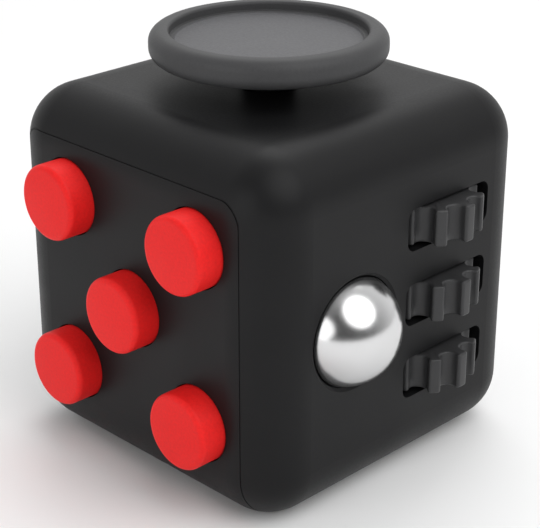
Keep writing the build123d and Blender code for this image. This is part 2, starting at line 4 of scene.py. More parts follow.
import bmesh
import bpy
from mathutils import Euler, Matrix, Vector


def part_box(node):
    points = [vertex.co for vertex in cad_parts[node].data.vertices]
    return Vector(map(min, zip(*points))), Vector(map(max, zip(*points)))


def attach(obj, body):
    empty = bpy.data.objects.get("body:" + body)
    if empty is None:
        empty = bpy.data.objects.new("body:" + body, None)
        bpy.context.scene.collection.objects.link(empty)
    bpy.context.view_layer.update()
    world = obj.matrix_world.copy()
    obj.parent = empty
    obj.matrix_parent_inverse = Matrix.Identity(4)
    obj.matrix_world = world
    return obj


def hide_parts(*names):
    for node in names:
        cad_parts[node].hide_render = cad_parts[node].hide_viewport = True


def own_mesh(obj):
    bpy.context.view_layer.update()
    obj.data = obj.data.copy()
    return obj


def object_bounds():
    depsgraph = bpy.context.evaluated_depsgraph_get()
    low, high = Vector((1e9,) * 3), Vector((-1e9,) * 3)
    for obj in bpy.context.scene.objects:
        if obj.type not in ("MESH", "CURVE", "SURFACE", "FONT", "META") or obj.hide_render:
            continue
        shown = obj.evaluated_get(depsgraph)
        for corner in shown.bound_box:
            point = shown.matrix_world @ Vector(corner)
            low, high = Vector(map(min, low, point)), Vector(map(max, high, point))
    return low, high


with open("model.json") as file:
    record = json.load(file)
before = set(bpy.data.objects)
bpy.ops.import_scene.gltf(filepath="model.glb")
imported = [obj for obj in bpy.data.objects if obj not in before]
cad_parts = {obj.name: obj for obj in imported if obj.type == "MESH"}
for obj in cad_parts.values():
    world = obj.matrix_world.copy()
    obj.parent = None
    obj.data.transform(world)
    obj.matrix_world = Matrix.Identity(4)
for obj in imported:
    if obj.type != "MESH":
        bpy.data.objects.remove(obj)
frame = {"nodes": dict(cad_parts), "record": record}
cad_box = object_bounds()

# A fidget cube: a black moulded shell 33 mm on an edge, with a different control on each face.
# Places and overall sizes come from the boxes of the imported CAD. Lengths named here are in
# millimetres unless a comment says otherwise.
MM = 0.001

# ---- sizes that the CAD boxes don't give --------------------------------------
CUBE_EDGE = 33.0
EDGE_R = 5.0                 # rounding of the cube's edges
SEAM_GAP = 0.12
SEAM_CORNER_R = 2.0
SEAM_BEAD_R = 0.055          # thread of plastic that all but closes the seam just below its surface
SEAM_BEAD_DEPTH = 0.075
SEAM_CORNER_STEPS = 9        # steps round a quarter turn at a corner of the button face
SEAM_TOP_STEPS = 24          # steps along the top, between the corners
SEAM_UNDER_STEPS = 10        # steps round the cube's lower front or rear edge
SEAM_BEAD_SHARP = 60.0       # degrees
WALL = 2.0
FIT = 0.05                   # gap between a button's flange and the wall it stops against
BUTTON_R = 3.4
BUTTON_EDGE_R = 0.5          # soft front edge of a push button
BUTTON_WALL = 0.9
BUTTON_FACE_T = 1.3
BUTTON_FLANGE_T = 0.8
BUTTON_STEPS_ROUND = 112
FLANGE_EDGE_R = 0.08
PLUNGER_R = 1.2
PLUNGER_EDGE_R = 0.15
BALL_STEPS_ROUND = 128
BALL_ARC_STEPS = 40
WHEEL_TEETH = 10
GROOVE_HALF_W = 0.83         # half width of the round-bottomed grooves between teeth
GROOVE_DEPTH = 1.15
GROOVE_ROUND = 0.97          # share of the groove's half width taken by the rounding of its foot
TOOTH_CORNER_R = 0.28
WHEEL_EDGE_R = 0.2
WHEEL_BORE_R = 1.06
WHEEL_BORE_INSET = 1.0       # points of the rim's section further in than this belong to the bore
WHEEL_SHARP = 40.0           # degrees
CAP_EDGE_R = 1.05
CAP_RECESS_R = 8.7
CAP_RECESS_DEPTH = 1.0
CAP_BEAD_W = 0.42            # low bead round the foot of the recess wall
CAP_BEAD_H = 0.2
CAP_BORE_R = 2.47
CAP_BORE_DEPTH = 1.0
CAP_STEPS_ROUND = 160
CAP_CORNER_STEPS = 8
CAP_BLEND = 0.1              # width over which the blasted recess meets the smooth rim
SCREW_HEAD_R = 1.15
SCREW_HEAD_H = 0.7
THREAD_PITCH = 0.35
THREAD_DEPTH = 0.11
SCREW_R = 0.5
SCREW_STEPS_ROUND = 28
SCREW_CORNER_STEPS = 3
SCREW_HEAD_EDGE_R = 0.35
RECESS_W = 0.26              # cross recess in a screw's head
RECESS_L = 1.2
RECESS_D = 0.35
WELD = 0.0015                # points closer than this are one
SAME_PLACE = 1e-6            # metres: doubles closer than this are merged
NO_LENGTH = 1e-7             # metres: edges shorter than this are dissolved
DEFAULT_SHARP = 35.0         # degrees: edges folded more than this stay sharp
SPRINGY_SHARP = 30.0         # degrees
HANDLING_MARK = 9.0          # size of the patches that handling has polished
FLOOR_DROP = 0.02            # keeps the paper's plane off the cube's foot
FLOOR_HALF = 3.0             # metres


# ---- node helpers -------------------------------------------------------------
def linear(code):
    """An sRGB hex value as a linear colour."""
    parts = [int(code[i : i + 2], 16) / 255 for i in (1, 3, 5)]
    return tuple(c / 12.92 if c <= 0.04045 else ((c + 0.055) / 1.055) ** 2.4 for c in parts) + (1.0,)


def add(tree, kind, links=None, **settings):
    """Adds a node. Links maps an input's name or number to a value or to another node's output."""
    made = tree.nodes.new(kind)
    for name, value in settings.items():
        setattr(made, name, value)
    for key, value in (links or {}).items():
        if isinstance(value, bpy.types.NodeSocket):
            tree.links.new(value, made.inputs[key])
        else:
            made.inputs[key].default_value = value
    return made


def per_mm(size):
    """Noise scale, in cycles per metre, of a pattern whose features are this many millimetres."""
    return 1.0 / (size * MM)


# ---- finishes -----------------------------------------------------------------
def moulded(name, dark, light, rough, grain, grain_height, mottle=5.0, specular=0.5, wear=0.0):
    """Injection-moulded surface: a spark-eroded grain, faint flow mottling and handling marks."""
    # The grain is drawn several times coarser than a real tool leaves it, so that it shows.
    finish = bpy.data.materials.new(name)
    finish.use_nodes = True
    tree = finish.node_tree
    skin = tree.nodes["Principled BSDF"]
    place = add(tree, "ShaderNodeTexCoord").outputs["Object"]
    flow = add(tree, "ShaderNodeTexNoise", {"Vector": place, "Scale": per_mm(mottle), "Detail": 3.0})
    fine = add(
        tree, "ShaderNodeTexNoise",
        {"Vector": place, "Scale": per_mm(grain), "Detail": 4.0, "Roughness": 0.6},
    )
    rub = add(
        tree, "ShaderNodeTexNoise",
        {"Vector": place, "Scale": per_mm(HANDLING_MARK), "Detail": 6.0, "Distortion": 0.6},
    )
    shade = add(tree, "ShaderNodeMixRGB", {0: flow.outputs[0], 1: linear(dark), 2: linear(light)})
    fleck = add(tree, "ShaderNodeMapRange", {0: fine.outputs[0], 1: 0.3, 2: 0.75, 3: 0.92, 4: 1.08})
    tint = add(
        tree, "ShaderNodeVectorMath", {0: shade.outputs[0], "Scale": fleck.outputs[0]},
        operation="SCALE",
    )
    tree.links.new(tint.outputs[0], skin.inputs["Base Color"])
    worn = add(tree, "ShaderNodeMapRange", {0: rub.outputs[0], 1: 0.5, 2: 0.72, 3: 0.0, 4: -wear})
    level = add(
        tree, "ShaderNodeMapRange",
        {0: fine.outputs[0], 1: 0.25, 2: 0.8, 3: rough - 0.05, 4: rough + 0.07},
    )
    total = add(tree, "ShaderNodeMath", {0: level.outputs[0], 1: worn.outputs[0]}, operation="ADD")
    tree.links.new(total.outputs[0], skin.inputs["Roughness"])
    bump = add(
        tree, "ShaderNodeBump",
        {"Height": fine.outputs[0], "Strength": 0.35, "Distance": grain_height * MM},
    )
    tree.links.new(bump.outputs[0], skin.inputs["Normal"])
    skin.inputs["IOR"].default_value = 1.5
    skin.inputs["Specular IOR Level"].default_value = specular
    return finish


def shell_abs():
    # Black ABS moulded in a lightly spark-eroded tool: near-black, with a broad soft sheen.
    return moulded("black_moulded_abs", "#141415", "#181819", 0.46, 0.22, 0.012, specular=0.17, wear=0.05)


def button_abs():
    # Red ABS from a satin tool: strong even colour and a soft highlight along the edge.
    return moulded(
        "red_satin_abs", "#e41e1e", "#ea2422", 0.5, 0.25, 0.006, mottle=3.0, specular=0.16, wear=0.04,
    )


def wheel_abs():
    # Dark grey ABS from a smoother tool, so the teeth catch a narrow highlight.
    return moulded(
        "dark_grey_abs", "#313132", "#373738", 0.42, 0.2, 0.006, mottle=2.5, specular=0.35, wear=0.04,
    )


def cap_abs():
    # Dark grey ABS. The thumb recess is blasted to a paler, sandy surface that a thumb can feel.
    finish = moulded(
        "grey_grained_abs", "#3f3f40", "#464647", 0.5, 0.24, 0.02, mottle=4.0, specular=0.2, wear=0.05,
    )
    tree = finish.node_tree
    skin = tree.nodes["Principled BSDF"]
    smooth_tint = skin.inputs["Base Color"].links[0].from_socket
    place = add(tree, "ShaderNodeTexCoord").outputs["Object"]
    parts = add(tree, "ShaderNodeSeparateXYZ", {0: place})
    flat = add(tree, "ShaderNodeCombineXYZ", {0: parts.outputs[0], 1: parts.outputs[1]})
    radius = add(tree, "ShaderNodeVectorMath", {0: flat.outputs[0]}, operation="LENGTH")
    foot = CAP_RECESS_R - CAP_BEAD_W
    inside = add(
        tree, "ShaderNodeMapRange",
        {0: radius.outputs["Value"], 1: (foot - CAP_BLEND) * MM, 2: foot * MM, 3: 1.0, 4: 0.0},
    )
    sand = add(
        tree, "ShaderNodeTexNoise",
        {"Vector": place, "Scale": per_mm(0.3), "Detail": 3.0, "Roughness": 0.7},
    )
    pale = add(tree, "ShaderNodeMixRGB", {0: sand.outputs[0], 1: linear("#4b4b4c"), 2: linear("#67676a")})
    both = add(tree, "ShaderNodeMixRGB", {0: inside.outputs[0], 1: smooth_tint, 2: pale.outputs[0]})
    tree.links.new(both.outputs[0], skin.inputs["Base Color"])
    return finish


def inner_nylon():
    # Plain black-filled nylon for brackets: matte, a little greyer than the shell.
    return moulded("filled_nylon", "#2c2c2e", "#36363a", 0.55, 0.3, 0.02, mottle=2.0)


def soft_silicone():
    # Moulded silicone: matte and slightly milky, with a fine dusting on it.
    return moulded("grey_silicone", "#86868a", "#94949a", 0.62, 0.18, 0.008, mottle=1.5, specular=0.35)


def metal(name, dark, light, rough, swing, streak, height):
    """Bare metal with fine marks drawn out along one axis."""
    finish = bpy.data.materials.new(name)
    finish.use_nodes = True
    tree = finish.node_tree
    skin = tree.nodes["Principled BSDF"]
    place = add(tree, "ShaderNodeTexCoord").outputs["Object"]
    drawn = add(tree, "ShaderNodeMapping", {"Vector": place, "Scale": (1.0, 1.0, streak)})
    marks = add(
        tree, "ShaderNodeTexNoise",
        {"Vector": drawn.outputs[0], "Scale": per_mm(0.25), "Detail": 5.0},
    )
    cloud = add(tree, "ShaderNodeTexNoise", {"Vector": place, "Scale": per_mm(3.0), "Detail": 2.0})
    shade = add(tree, "ShaderNodeMixRGB", {0: cloud.outputs[0], 1: linear(dark), 2: linear(light)})
    tree.links.new(shade.outputs[0], skin.inputs["Base Color"])
    level = add(
        tree, "ShaderNodeMapRange",
        {0: marks.outputs[0], 1: 0.3, 2: 0.7, 3: rough - swing, 4: rough + swing},
    )
    tree.links.new(level.outputs[0], skin.inputs["Roughness"])
    bump = add(
        tree, "ShaderNodeBump", {"Height": marks.outputs[0], "Strength": 0.2, "Distance": height * MM},
    )
    tree.links.new(bump.outputs[0], skin.inputs["Normal"])
    skin.inputs["Metallic"].default_value = 1.0
    return finish


def ball_steel():
    # Bearing steel, lapped to a mirror: clear reflections, softened a little by handling.
    return metal("lapped_ball_steel", "#cfcfcf", "#dadadb", 0.22, 0.02, 1.0, 0.0004)


def spring_steel():
    # Cold-rolled strip: bright, with fine roll marks.
    return metal("rolled_spring_steel", "#a4a5a8", "#b8b9bc", 0.28, 0.06, 0.15, 0.002)


def zinc_plate():
    # Zinc-plated screws: a slightly cloudy, soft shine.
    return metal("zinc_plated_steel", "#9c9ea3", "#b0b2b6", 0.34, 0.07, 1.0, 0.002)


def bush_brass():
    # Turned brass: warm, with fine tool rings.
    return metal("turned_brass", "#b08a45", "#c49c54", 0.25, 0.06, 0.2, 0.002)


def stage_paper():
    # Seamless white studio paper: matte, with no grain to see at this distance.
    finish = bpy.data.materials.new("studio_paper")
    finish.use_nodes = True
    skin = finish.node_tree.nodes["Principled BSDF"]
    skin.inputs["Base Color"].default_value = linear("#f4f4f4")
    skin.inputs["Roughness"].default_value = 0.9
    skin.inputs["Specular IOR Level"].default_value = 0.1
    return finish


SLOT_FINISH = {
    "shell_plastic": shell_abs(),
    "button_plastic": button_abs(),
    "wheel_plastic": wheel_abs(),
    "stick_plastic": cap_abs(),
    "polished_steel": ball_steel(),
    "spring_steel": spring_steel(),
    "screw_steel": zinc_plate(),
    "silicone": soft_silicone(),
    "brass": bush_brass(),
    "inner_plastic": inner_nylon(),
}
NODE_SLOT = {part["node"]: part["material_slot"] for part in frame["record"]["subparts"]}
NODE_BODY = {n: body for body, members in frame["record"]["behaviour"]["bodies"].items() for n in members}


# ---- drawing helpers ----------------------------------------------------------
def outline(name, corners):
    """Open polyline in millimetres from (x, z, rounding) corners, as a curve object."""
    curve = bpy.data.curves.new(name, "CURVE")
    curve.dimensions = "3D"
    line = curve.splines.new("POLY")
    line.points.add(len(corners) - 1)
    for point, (x, z, rounding) in zip(line.points, corners):
        point.co = (x, 0.0, z, 1.0)
        point.radius = rounding
    drawn = bpy.data.objects.new(name, curve)
    bpy.context.scene.collection.objects.link(drawn)
    return drawn


def named_input(tree, name, kind, default=None):
    """Adds one input to a node group."""
    made = tree.interface.new_socket(name=name, in_out="INPUT", socket_type=kind)
    if default is not None:
        made.default_value = default


def new_tree(name, inputs):
    """Geometry node group with a geometry input and output and the named inputs."""
    tree = bpy.data.node_groups.new(name, "GeometryNodeTree")
    named_input(tree, "Geometry", "NodeSocketGeometry")
    for label, kind, default in inputs:
        named_input(tree, label, kind, default)
    tree.interface.new_socket(name="Geometry", in_out="OUTPUT", socket_type="NodeSocketGeometry")
    return tree, add(tree, "NodeGroupInput").outputs


def rounded_points(tree, curve, corner_steps):
    """Rounds a polyline's corners by its point radii and gives the points along it."""
    rounding = add(tree, "GeometryNodeInputRadius").outputs[0]
    soft = add(
        tree, "GeometryNodeFilletCurve",
        {"Curve": curve, "Radius": rounding, "Limit Radius": True, "Count": corner_steps}, mode="POLY",
    )
    return add(tree, "GeometryNodeCurveToPoints", {"Curve": soft.outputs[0]}, mode="EVALUATED")


def finish_tree(tree, mesh, turn, place, material):
    """Scales from millimetres, turns and places the mesh, and gives it its finish."""
    welded = add(tree, "GeometryNodeMergeByDistance", {"Geometry": mesh, "Distance": WELD}).outputs[0]
    sized = add(tree, "GeometryNodeTransform", {"Geometry": welded, "Scale": (MM, MM, MM), "Rotation": turn})
    placed = add(tree, "GeometryNodeTransform", {"Geometry": sized.outputs[0], "Translation": place})
    real = add(tree, "GeometryNodeRealizeInstances", {"Geometry": placed.outputs[0]})
    done = add(tree, "GeometryNodeSetMaterial", {"Geometry": real.outputs[0], "Material": material})
    add(tree, "NodeGroupOutput", {0: done.outputs[0]})


PLACING = [
    ("Turn", "NodeSocketRotation", None),
    ("Place", "NodeSocketVector", (0.0, 0.0, 0.0)),
    ("Finish", "NodeSocketMaterial", None),
]


def spin(tree, curve, steps_round, corner_steps):
    """Spins a rounded outline about its z axis into a mesh."""
    line = rounded_points(tree, curve, corner_steps).outputs["Points"]
    size = add(tree, "GeometryNodeAttributeDomainSize", {0: line}, component="POINTCLOUD")
    count = size.outputs["Point Count"]
    rings = add(tree, "FunctionNodeIntegerMath", {0: steps_round, 1: 1}, operation="ADD")
    sheet = add(tree, "GeometryNodeMeshGrid", {"Vertices X": rings.outputs[0], "Vertices Y": count})
    index = add(tree, "GeometryNodeInputIndex").outputs[0]
    ring = add(tree, "FunctionNodeIntegerMath", {0: index, 1: count}, operation="DIVIDE_FLOOR")
    step = add(tree, "FunctionNodeIntegerMath", {0: index, 1: count}, operation="MODULO")
    here = add(tree, "GeometryNodeInputPosition").outputs[0]
    spot = add(
        tree, "GeometryNodeSampleIndex", {"Geometry": line, "Value": here, "Index": step.outputs[0]},
        data_type="FLOAT_VECTOR", domain="POINT",
    )
    share = add(tree, "ShaderNodeMath", {0: ring.outputs[0], 1: steps_round}, operation="DIVIDE")
    angle = add(tree, "ShaderNodeMath", {0: share.outputs[0], 1: 2 * math.pi}, operation="MULTIPLY")
    spun = add(
        tree, "ShaderNodeVectorRotate", {"Vector": spot.outputs[0], "Angle": angle.outputs[0]},
        rotation_type="Z_AXIS",
    )
    body = add(
        tree, "GeometryNodeSetPosition", {"Geometry": sheet.outputs[0], "Position": spun.outputs[0]},
    )
    closed = add(tree, "GeometryNodeMergeByDistance", {"Geometry": body.outputs[0], "Distance": WELD})
    return closed.outputs[0]


def turned_tree():
    """One turned part: an outline spun about its z axis."""
    sizes = [("Steps round", "NodeSocketInt", 96), ("Corner steps", "NodeSocketInt", 6)]
    tree, given = new_tree("turned_part", sizes + PLACING)
    body = spin(tree, given["Geometry"], given["Steps round"], given["Corner steps"])
    finish_tree(tree, body, given["Turn"], given["Place"], given["Finish"])
    return tree


def screw_tree():
    """A set of screws: one outline spun, cut with a cross recess and set on every point."""
    sizes = [
        ("Outline", "NodeSocketObject", None),
        ("Recess width", "NodeSocketFloat", RECESS_W),
        ("Recess length", "NodeSocketFloat", RECESS_L),
        ("Recess depth", "NodeSocketFloat", RECESS_D),
        ("Turn", "NodeSocketRotation", None),
        ("Finish", "NodeSocketMaterial", None),
    ]
    tree, given = new_tree("screw_set", sizes)
    drawn = add(tree, "GeometryNodeObjectInfo", {"Object": given["Outline"]}).outputs["Geometry"]
    blank = spin(tree, drawn, SCREW_STEPS_ROUND, SCREW_CORNER_STEPS)
    depth = add(tree, "ShaderNodeMath", {0: given["Recess depth"], 1: 2.0}, operation="MULTIPLY").outputs[0]
    width, length = given["Recess width"], given["Recess length"]
    across = add(tree, "ShaderNodeCombineXYZ", {0: length, 1: width, 2: depth})
    along = add(tree, "ShaderNodeCombineXYZ", {0: width, 1: length, 2: depth})
    boxes = (across.outputs[0], along.outputs[0])
    slots = [add(tree, "GeometryNodeMeshCube", {"Size": box}).outputs[0] for box in boxes]
    cut = add(tree, "GeometryNodeMeshBoolean", {"Mesh 1": blank}, operation="DIFFERENCE", solver="EXACT")
    for slot in slots:
        tree.links.new(slot, cut.inputs["Mesh 2"])
    sized = add(tree, "GeometryNodeTransform", {"Geometry": cut.outputs[0], "Scale": (MM, MM, MM)})
    set_out = add(
        tree, "GeometryNodeInstanceOnPoints",
        {"Points": given["Geometry"], "Instance": sized.outputs[0], "Rotation": given["Turn"]},
    )
    real = add(tree, "GeometryNodeRealizeInstances", {"Geometry": set_out.outputs[0]})
    done = add(tree, "GeometryNodeSetMaterial", {"Geometry": real.outputs[0], "Material": given["Finish"]})
    add(tree, "NodeGroupOutput", {0: done.outputs[0]})
    return tree


def toothed_tree():
    """Repeats one tooth's outline round a wheel and gives it a rounded rim and flat faces with a bore."""
    sizes = [
        ("Section", "NodeSocketObject", None),
        ("Teeth", "NodeSocketInt", WHEEL_TEETH),
        ("Corner steps", "NodeSocketInt", 6),
        ("Bore radius", "NodeSocketFloat", WHEEL_BORE_R),
        ("Bore inset", "NodeSocketFloat", WHEEL_BORE_INSET),
    ]
    tree, given = new_tree("toothed_wheel", sizes + PLACING)
    tooth = rounded_points(tree, given["Geometry"], given["Corner steps"]).outputs
    drawn = add(tree, "GeometryNodeObjectInfo", {"Object": given["Section"]}).outputs["Geometry"]
    section = rounded_points(tree, drawn, given["Corner steps"]).outputs
    counts = [
        add(tree, "GeometryNodeAttributeDomainSize", {0: line["Points"]}, component="POINTCLOUD")
        for line in (tooth, section)
    ]
    along, rows = [size.outputs["Point Count"] for size in counts]
    columns = add(tree, "FunctionNodeIntegerMath", {0: along, 1: given["Teeth"]}, operation="MULTIPLY")
    sheet = add(tree, "GeometryNodeMeshGrid", {"Vertices X": columns.outputs[0], "Vertices Y": rows})
    index = add(tree, "GeometryNodeInputIndex").outputs[0]
    column = add(tree, "FunctionNodeIntegerMath", {0: index, 1: rows}, operation="DIVIDE_FLOOR").outputs[0]
    row = add(tree, "FunctionNodeIntegerMath", {0: index, 1: rows}, operation="MODULO").outputs[0]
    pitch = add(tree, "FunctionNodeIntegerMath", {0: column, 1: along}, operation="DIVIDE_FLOOR")
    step = add(tree, "FunctionNodeIntegerMath", {0: column, 1: along}, operation="MODULO").outputs[0]
    here = add(tree, "GeometryNodeInputPosition").outputs[0]
    # The place and the tangent come from the tooth's outline, and the inset and lift from the section.
    reads = ((tooth, here, step), (tooth, tooth["Tangent"], step), (section, here, row))
    read = [
        add(
            tree, "GeometryNodeSampleIndex", {"Geometry": line["Points"], "Value": value, "Index": at},
            data_type="FLOAT_VECTOR", domain="POINT",
        )
        for line, value, at in reads
    ]
    flat, slope, cut = [add(tree, "ShaderNodeSeparateXYZ", {0: item.outputs[0]}).outputs for item in read]
    # The outline is drawn in x and z, so its inward normal is (-tangent z, tangent x).
    down = add(tree, "ShaderNodeMath", {0: slope[2], 1: -1.0}, operation="MULTIPLY")
    across = add(tree, "ShaderNodeCombineXYZ", {0: down.outputs[0], 1: slope[0]}).outputs[0]
    start = add(tree, "ShaderNodeCombineXYZ", {0: flat[0], 1: flat[2]}).outputs[0]
    moved = add(tree, "ShaderNodeVectorMath", {0: across, "Scale": cut[0]}, operation="SCALE").outputs[0]
    inset = add(tree, "ShaderNodeVectorMath", {0: start, 1: moved}, operation="ADD").outputs[0]
    way = add(tree, "ShaderNodeVectorMath", {0: start}, operation="NORMALIZE").outputs[0]
    bore = add(tree, "ShaderNodeVectorMath", {0: way, "Scale": given["Bore radius"]}, operation="SCALE")
    in_bore = add(
        tree, "FunctionNodeCompare", {0: cut[0], 1: given["Bore inset"]},
        data_type="FLOAT", operation="GREATER_EQUAL",
    )
    chosen = add(
        tree, "GeometryNodeSwitch",
        {"Switch": in_bore.outputs[0], "False": inset, "True": bore.outputs[0]}, input_type="VECTOR",
    )
    lift = add(tree, "ShaderNodeCombineXYZ", {2: cut[2]}).outputs[0]
    raised = add(tree, "ShaderNodeVectorMath", {0: chosen.outputs[0], 1: lift}, operation="ADD").outputs[0]
    one_pitch = add(tree, "ShaderNodeMath", {0: 2 * math.pi, 1: given["Teeth"]}, operation="DIVIDE")
    angle = add(tree, "ShaderNodeMath", {0: pitch.outputs[0], 1: one_pitch.outputs[0]}, operation="MULTIPLY")
    spun = add(
        tree, "ShaderNodeVectorRotate", {"Vector": raised, "Angle": angle.outputs[0]},
        rotation_type="Z_AXIS",
    )
    body = add(
        tree, "GeometryNodeSetPosition", {"Geometry": sheet.outputs[0], "Position": spun.outputs[0]},
    )
    finish_tree(tree, body.outputs[0], given["Turn"], given["Place"], given["Finish"])
    return tree


def bead_tree():
    """A round bead laid along a path."""
    sizes = [("Radius", "NodeSocketFloat", SEAM_BEAD_R), ("Sides", "NodeSocketInt", 8)]
    tree, given = new_tree("seam_bead", sizes + PLACING)
    ring = add(
        tree, "GeometryNodeCurvePrimitiveCircle",
        {"Resolution": given["Sides"], "Radius": given["Radius"]}, mode="RADIUS",
    )
    laid = add(
        tree, "GeometryNodeCurveToMesh",
        {"Curve": given["Geometry"], "Profile Curve": ring.outputs[0]},
    )
    finish_tree(tree, laid.outputs[0], given["Turn"], given["Place"], given["Finish"])
    return tree


def built(name, source, tree, values, body, nodes, sharp=DEFAULT_SHARP):
    """Runs a tree on a source curve and keeps the result as a plain mesh riding on a body."""
    worker = source.modifiers.new("build", "NODES")
    worker.node_group = tree
    for item in tree.interface.items_tree:
        if item.item_type == "SOCKET" and item.in_out == "INPUT" and item.name in values:
            worker[item.identifier] = values[item.name]
    source.update_tag()
    bpy.context.view_layer.update()
    graph = bpy.context.evaluated_depsgraph_get()
    mesh = bpy.data.meshes.new_from_object(source.evaluated_get(graph), depsgraph=graph)
    source.modifiers.clear()
    bpy.data.objects.remove(source)
    piece = bpy.data.objects.new(name, mesh)
    bpy.context.scene.collection.objects.link(piece)
    tidy(mesh, sharp)
    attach(piece, body)
    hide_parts(*nodes)


def tidy(mesh, sharp):
    """Closes seams, points faces outwards and shades all but the sharp edges smooth."""
    work = bmesh.new()
    work.from_mesh(mesh)
    bmesh.ops.remove_doubles(work, verts=work.verts, dist=SAME_PLACE)
    bmesh.ops.dissolve_degenerate(work, edges=work.edges, dist=NO_LENGTH)
    bmesh.ops.recalc_face_normals(work, faces=work.faces)
    for face in work.faces:
        face.smooth = True
    limit = math.radians(sharp)
    for edge in work.edges:
        edge.smooth = not (edge.is_manifold and edge.calc_face_angle(0.0) > limit)
    work.to_mesh(mesh)
    work.free()


def centre_and_size(node):
    """Centre and size of a CAD node's box, in metres."""
    low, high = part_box(node)
    return (low + high) / 2, high - low


TURNED = turned_tree()
BEAD = bead_tree()
TOOTHED = toothed_tree()
SCREWS = screw_tree()
QUARTER = math.radians(90)
UPRIGHT = Euler((0.0, 0.0, 0.0))
TO_BACK = Euler((-QUARTER, 0.0, 0.0))     # z runs towards +y
TO_RIGHT = Euler((0.0, QUARTER, 0.0))     # z runs towards +x
TO_LEFT = Euler((0.0, -QUARTER, 0.0))     # z runs towards -x
DOWNWARD = Euler((2 * QUARTER, 0.0, 0.0))


# ---- visible controls ---------------------------------------------------------
def push_button(node):
    """Hollow red cap with a soft front edge, a retaining flange and a plunger."""
    centre, size = centre_and_size(node)
    depth = size.y / MM
    flange_r = size.x / 2 / MM
    proud = (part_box("wrap_cover")[0].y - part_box(node)[0].y) / MM
    flange_front = proud + WALL + FIT
    corners = [
        (0.0, 0.0, 0.0),
        (BUTTON_R, 0.0, BUTTON_EDGE_R),
        (BUTTON_R, flange_front, 0.05),
        (flange_r, flange_front, FLANGE_EDGE_R),
        (flange_r, flange_front + BUTTON_FLANGE_T, FLANGE_EDGE_R),
        (BUTTON_R - BUTTON_WALL, flange_front + BUTTON_FLANGE_T, FLANGE_EDGE_R),
        (BUTTON_R - BUTTON_WALL, BUTTON_FACE_T, 0.2),
        (PLUNGER_R, BUTTON_FACE_T, PLUNGER_EDGE_R),
        (PLUNGER_R, depth, PLUNGER_EDGE_R),
        (0.0, depth, 0.0),
    ]
    place = (centre.x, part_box(node)[0].y, centre.z)
    values = {"Steps round": BUTTON_STEPS_ROUND, "Turn": TO_BACK, "Place": place,
              "Finish": SLOT_FINISH["button_plastic"]}
    drawn = outline(node, corners)
    built(f"{node}_cap", drawn, TURNED, values, NODE_BODY[node], [node])


def steel_ball():
    """Mirror ball."""
    centre, size = centre_and_size("steel_ball")
    radius = size.z / 2 / MM
    corners = [(0.0, -radius, 0.0), (radius, -radius, radius), (radius, radius, radius), (0.0, radius, 0.0)]
    values = {"Steps round": BALL_STEPS_ROUND, "Corner steps": BALL_ARC_STEPS, "Turn": UPRIGHT,
              "Place": tuple(centre), "Finish": SLOT_FINISH["polished_steel"]}
    drawn = outline("ball", corners)
    built("ball_mirror", drawn, TURNED, values, "ball", ["steel_ball"])


def stick_cap():
    """Dished cap with a rolled rim and a low bead at the foot of the recess wall."""
    low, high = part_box("stick_cap")
    radius = (high.x - low.x) / 2 / MM
    height = (high.z - low.z) / MM
    floor = height - CAP_RECESS_DEPTH
    bead = floor + CAP_BEAD_H
    corners = [
        (0.0, CAP_BORE_DEPTH, 0.0),
        (CAP_BORE_R, CAP_BORE_DEPTH, 0.0),
        (CAP_BORE_R, 0.0, 0.1),
        (radius, 0.0, CAP_EDGE_R),
        (radius, height, CAP_EDGE_R),
        (CAP_RECESS_R, height, 0.3),
        (CAP_RECESS_R, bead, 0.06),
        (CAP_RECESS_R - CAP_BEAD_W, bead, 0.1),
        (CAP_RECESS_R - CAP_BEAD_W - 0.12, floor, 0.1),
        (0.0, floor, 0.0),
    ]
    values = {"Steps round": CAP_STEPS_ROUND, "Corner steps": CAP_CORNER_STEPS, "Turn": UPRIGHT,
              "Place": (0.0, 0.0, low.z), "Finish": SLOT_FINISH["stick_plastic"]}
    drawn = outline("cap", corners)
    built("stick_cap_dished", drawn, TURNED, values, "thumb_stick", ["stick_cap"])


def thumb_wheel(node):
    """Wheel with U-shaped grooves between square-topped teeth."""
    low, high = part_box(node)
    centre = (low + high) / 2
    half_t = (high.z - low.z) / 2 / MM
    radius = (high.x - centre.x) / MM
    half_pitch = math.pi / WHEEL_TEETH
    foot = radius - GROOVE_DEPTH
    mouth = math.sqrt(radius**2 - GROOVE_HALF_W**2)

    def beside(side, along, offset, rounding):
        """A corner on one side of the tooth, by its distances along and off the groove's middle line."""
        turn = side * half_pitch
        x = along * math.cos(turn) + side * offset * math.sin(turn)
        z = along * math.sin(turn) - side * offset * math.cos(turn)
        return (x, z, rounding)

    flank = [
        (foot, 0.0, 0.0),
        (foot, GROOVE_HALF_W, GROOVE_HALF_W * GROOVE_ROUND),
        (mouth, GROOVE_HALF_W, TOOTH_CORNER_R),
    ]
    corners = [beside(-1, *corner) for corner in flank]
    corners.append((radius, 0.0, radius))
    corners += [beside(1, *corner) for corner in reversed(flank)]
    hidden = 2 * WHEEL_BORE_INSET
    section = outline("wheel_section", [
        (hidden, half_t, 0.0),
        (0.0, half_t, WHEEL_EDGE_R),
        (0.0, -half_t, WHEEL_EDGE_R),
        (hidden, -half_t, 0.0),
    ])
    values = {"Section": section, "Turn": UPRIGHT, "Place": tuple(centre),
              "Finish": SLOT_FINISH["wheel_plastic"]}
    drawn = outline(node, corners)
    built(f"{node}_toothed", drawn, TOOTHED, values, NODE_BODY[node], [node], WHEEL_SHARP)
    bpy.data.objects.remove(section)


